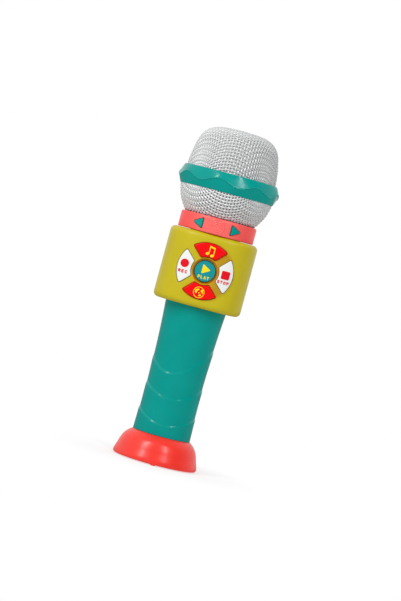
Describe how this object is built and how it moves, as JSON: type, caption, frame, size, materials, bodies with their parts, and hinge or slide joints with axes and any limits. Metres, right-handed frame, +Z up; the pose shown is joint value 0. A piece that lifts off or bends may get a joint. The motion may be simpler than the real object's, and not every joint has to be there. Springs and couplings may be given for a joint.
{
  "type": "toy microphone",
  "caption": "Child's toy microphone: round mesh head in a wavy ring, collar, control box with a round button cluster, tapered battery handle and flared base.",
  "frame": {"origin": "centre of the base at the height of its feet, where it rests on a table", "axes": "+Z up along the handle's axis, front with the buttons faces -Y, +X to the viewer's right"},
  "size_m": [0.072, 0.072, 0.24],
  "materials": {
    "coral_plastic": "satin moulded ABS",
    "teal_plastic": "satin moulded ABS",
    "lime_plastic": "satin moulded ABS",
    "red_plastic": "gloss moulded ABS",
    "white_plastic": "gloss moulded ABS",
    "play_plastic": "gloss moulded ABS",
    "black_plastic": "fine texture",
    "inner_white": "satin moulded ABS",
    "silver_mesh": "silver painted woven relief",
    "screw_steel": "zinc plated",
    "spring_steel": "nickel plated",
    "cell_wrap": "printed foil wrap",
    "board_laminate": "green solder mask",
    "grey_rubber": "silicone",
    "dark_rubber": "soft rubber",
    "speaker_steel": "plated pressing",
    "magnet_steel": "ground ferrite",
    "cone_paper": "pressed paper",
    "capsule_metal": "drawn can",
    "lens_red": "clear epoxy",
    "lens_green": "clear epoxy",
    "lens_blue": "clear epoxy",
    "wire_red": "vinyl sleeve",
    "wire_black": "vinyl sleeve",
    "wire_white": "vinyl sleeve"
  },
  "bodies": {
    "body": {"arrow_board": "board_laminate", "arrow_dome_left": "grey_rubber", "arrow_dome_right": "grey_rubber", "base_foot": "coral_plastic", "base_plate": "coral_plastic", "base_screw_left": "screw_steel", "base_screw_right": "screw_steel", "battery_contact_left": "spring_steel", "battery_contact_right": "spring_steel", "battery_left": "cell_wrap", "battery_right": "cell_wrap", "battery_spring_left": "spring_steel", "battery_spring_right": "spring_steel", "capacitor": "capsule_metal", "collar": "coral_plastic", "globe_dome": "grey_rubber", "grille_lower": "silver_mesh", "grille_upper": "silver_mesh", "handle_back": "teal_plastic", "handle_front": "teal_plastic", "handle_screw_lower": "screw_steel", "handle_screw_upper": "screw_steel", "head_frame": "inner_white", "head_ring": "teal_plastic", "housing_back": "lime_plastic", "housing_front": "lime_plastic", "housing_screw_lower_left": "screw_steel", "housing_screw_lower_right": "screw_steel", "housing_screw_upper_left": "screw_steel", "housing_screw_upper_right": "screw_steel", "led_blue": "lens_blue", "led_board": "board_laminate", "led_green": "lens_green", "led_red": "lens_red", "main_board": "board_laminate", "mic_capsule": "capsule_metal", "mic_holder": "dark_rubber", "play_dome": "grey_rubber", "power_switch_body": "spring_steel", "record_dome": "grey_rubber", "song_dome": "grey_rubber", "sound_chip": "black_plastic", "speaker_basket": "speaker_steel", "speaker_cone": "cone_paper", "speaker_magnet": "magnet_steel", "stop_dome": "grey_rubber", "wire_battery": "wire_red", "wire_microphone": "wire_white", "wire_speaker": "wire_black"},
    "song_button": {"song_button": "red_plastic"},
    "globe_button": {"globe_button": "red_plastic"},
    "record_button": {"record_button": "white_plastic"},
    "stop_button": {"stop_button": "white_plastic"},
    "play_button": {"play_button": "play_plastic"},
    "arrow_button_left": {"arrow_button_left": "teal_plastic"},
    "arrow_button_right": {"arrow_button_right": "teal_plastic"},
    "power_knob": {"power_switch_knob": "black_plastic"},
    "battery_door": {"battery_door": "teal_plastic", "battery_door_screw": "screw_steel"}
  },
  "joints": [
    {"name": "song_press", "type": "slide", "parent": "body", "child": "song_button", "axis": [0, 1, 0], "range_m": [0, 0.0012], "stiffness_N_per_m": 250, "deforming": ["song_dome"]},
    {"name": "globe_press", "type": "slide", "parent": "body", "child": "globe_button", "axis": [0, 1, 0], "range_m": [0, 0.0012], "stiffness_N_per_m": 250, "deforming": ["globe_dome"]},
    {"name": "record_press", "type": "slide", "parent": "body", "child": "record_button", "axis": [0, 1, 0], "range_m": [0, 0.0012], "stiffness_N_per_m": 250, "deforming": ["record_dome"]},
    {"name": "stop_press", "type": "slide", "parent": "body", "child": "stop_button", "axis": [0, 1, 0], "range_m": [0, 0.0012], "stiffness_N_per_m": 250, "deforming": ["stop_dome"]},
    {"name": "play_press", "type": "slide", "parent": "body", "child": "play_button", "axis": [0, 1, 0], "range_m": [0, 0.0012], "stiffness_N_per_m": 250, "deforming": ["play_dome"]},
    {"name": "arrow_left_press", "type": "slide", "parent": "body", "child": "arrow_button_left", "axis": [0.4848, 0.8746, 0], "range_m": [0, 0.001], "stiffness_N_per_m": 250, "deforming": ["arrow_dome_left"]},
    {"name": "arrow_right_press", "type": "slide", "parent": "body", "child": "arrow_button_right", "axis": [-0.4848, 0.8746, 0], "range_m": [0, 0.001], "stiffness_N_per_m": 250, "deforming": ["arrow_dome_right"]},
    {"name": "power_slide", "type": "slide", "parent": "body", "child": "power_knob", "axis": [1, 0, 0], "range_m": [0, 0.004]},
    {"name": "battery_door_lift", "type": "slide", "parent": "body", "child": "battery_door", "axis": [0, 1, 0], "range_m": [0, 0.025]}
  ]
}
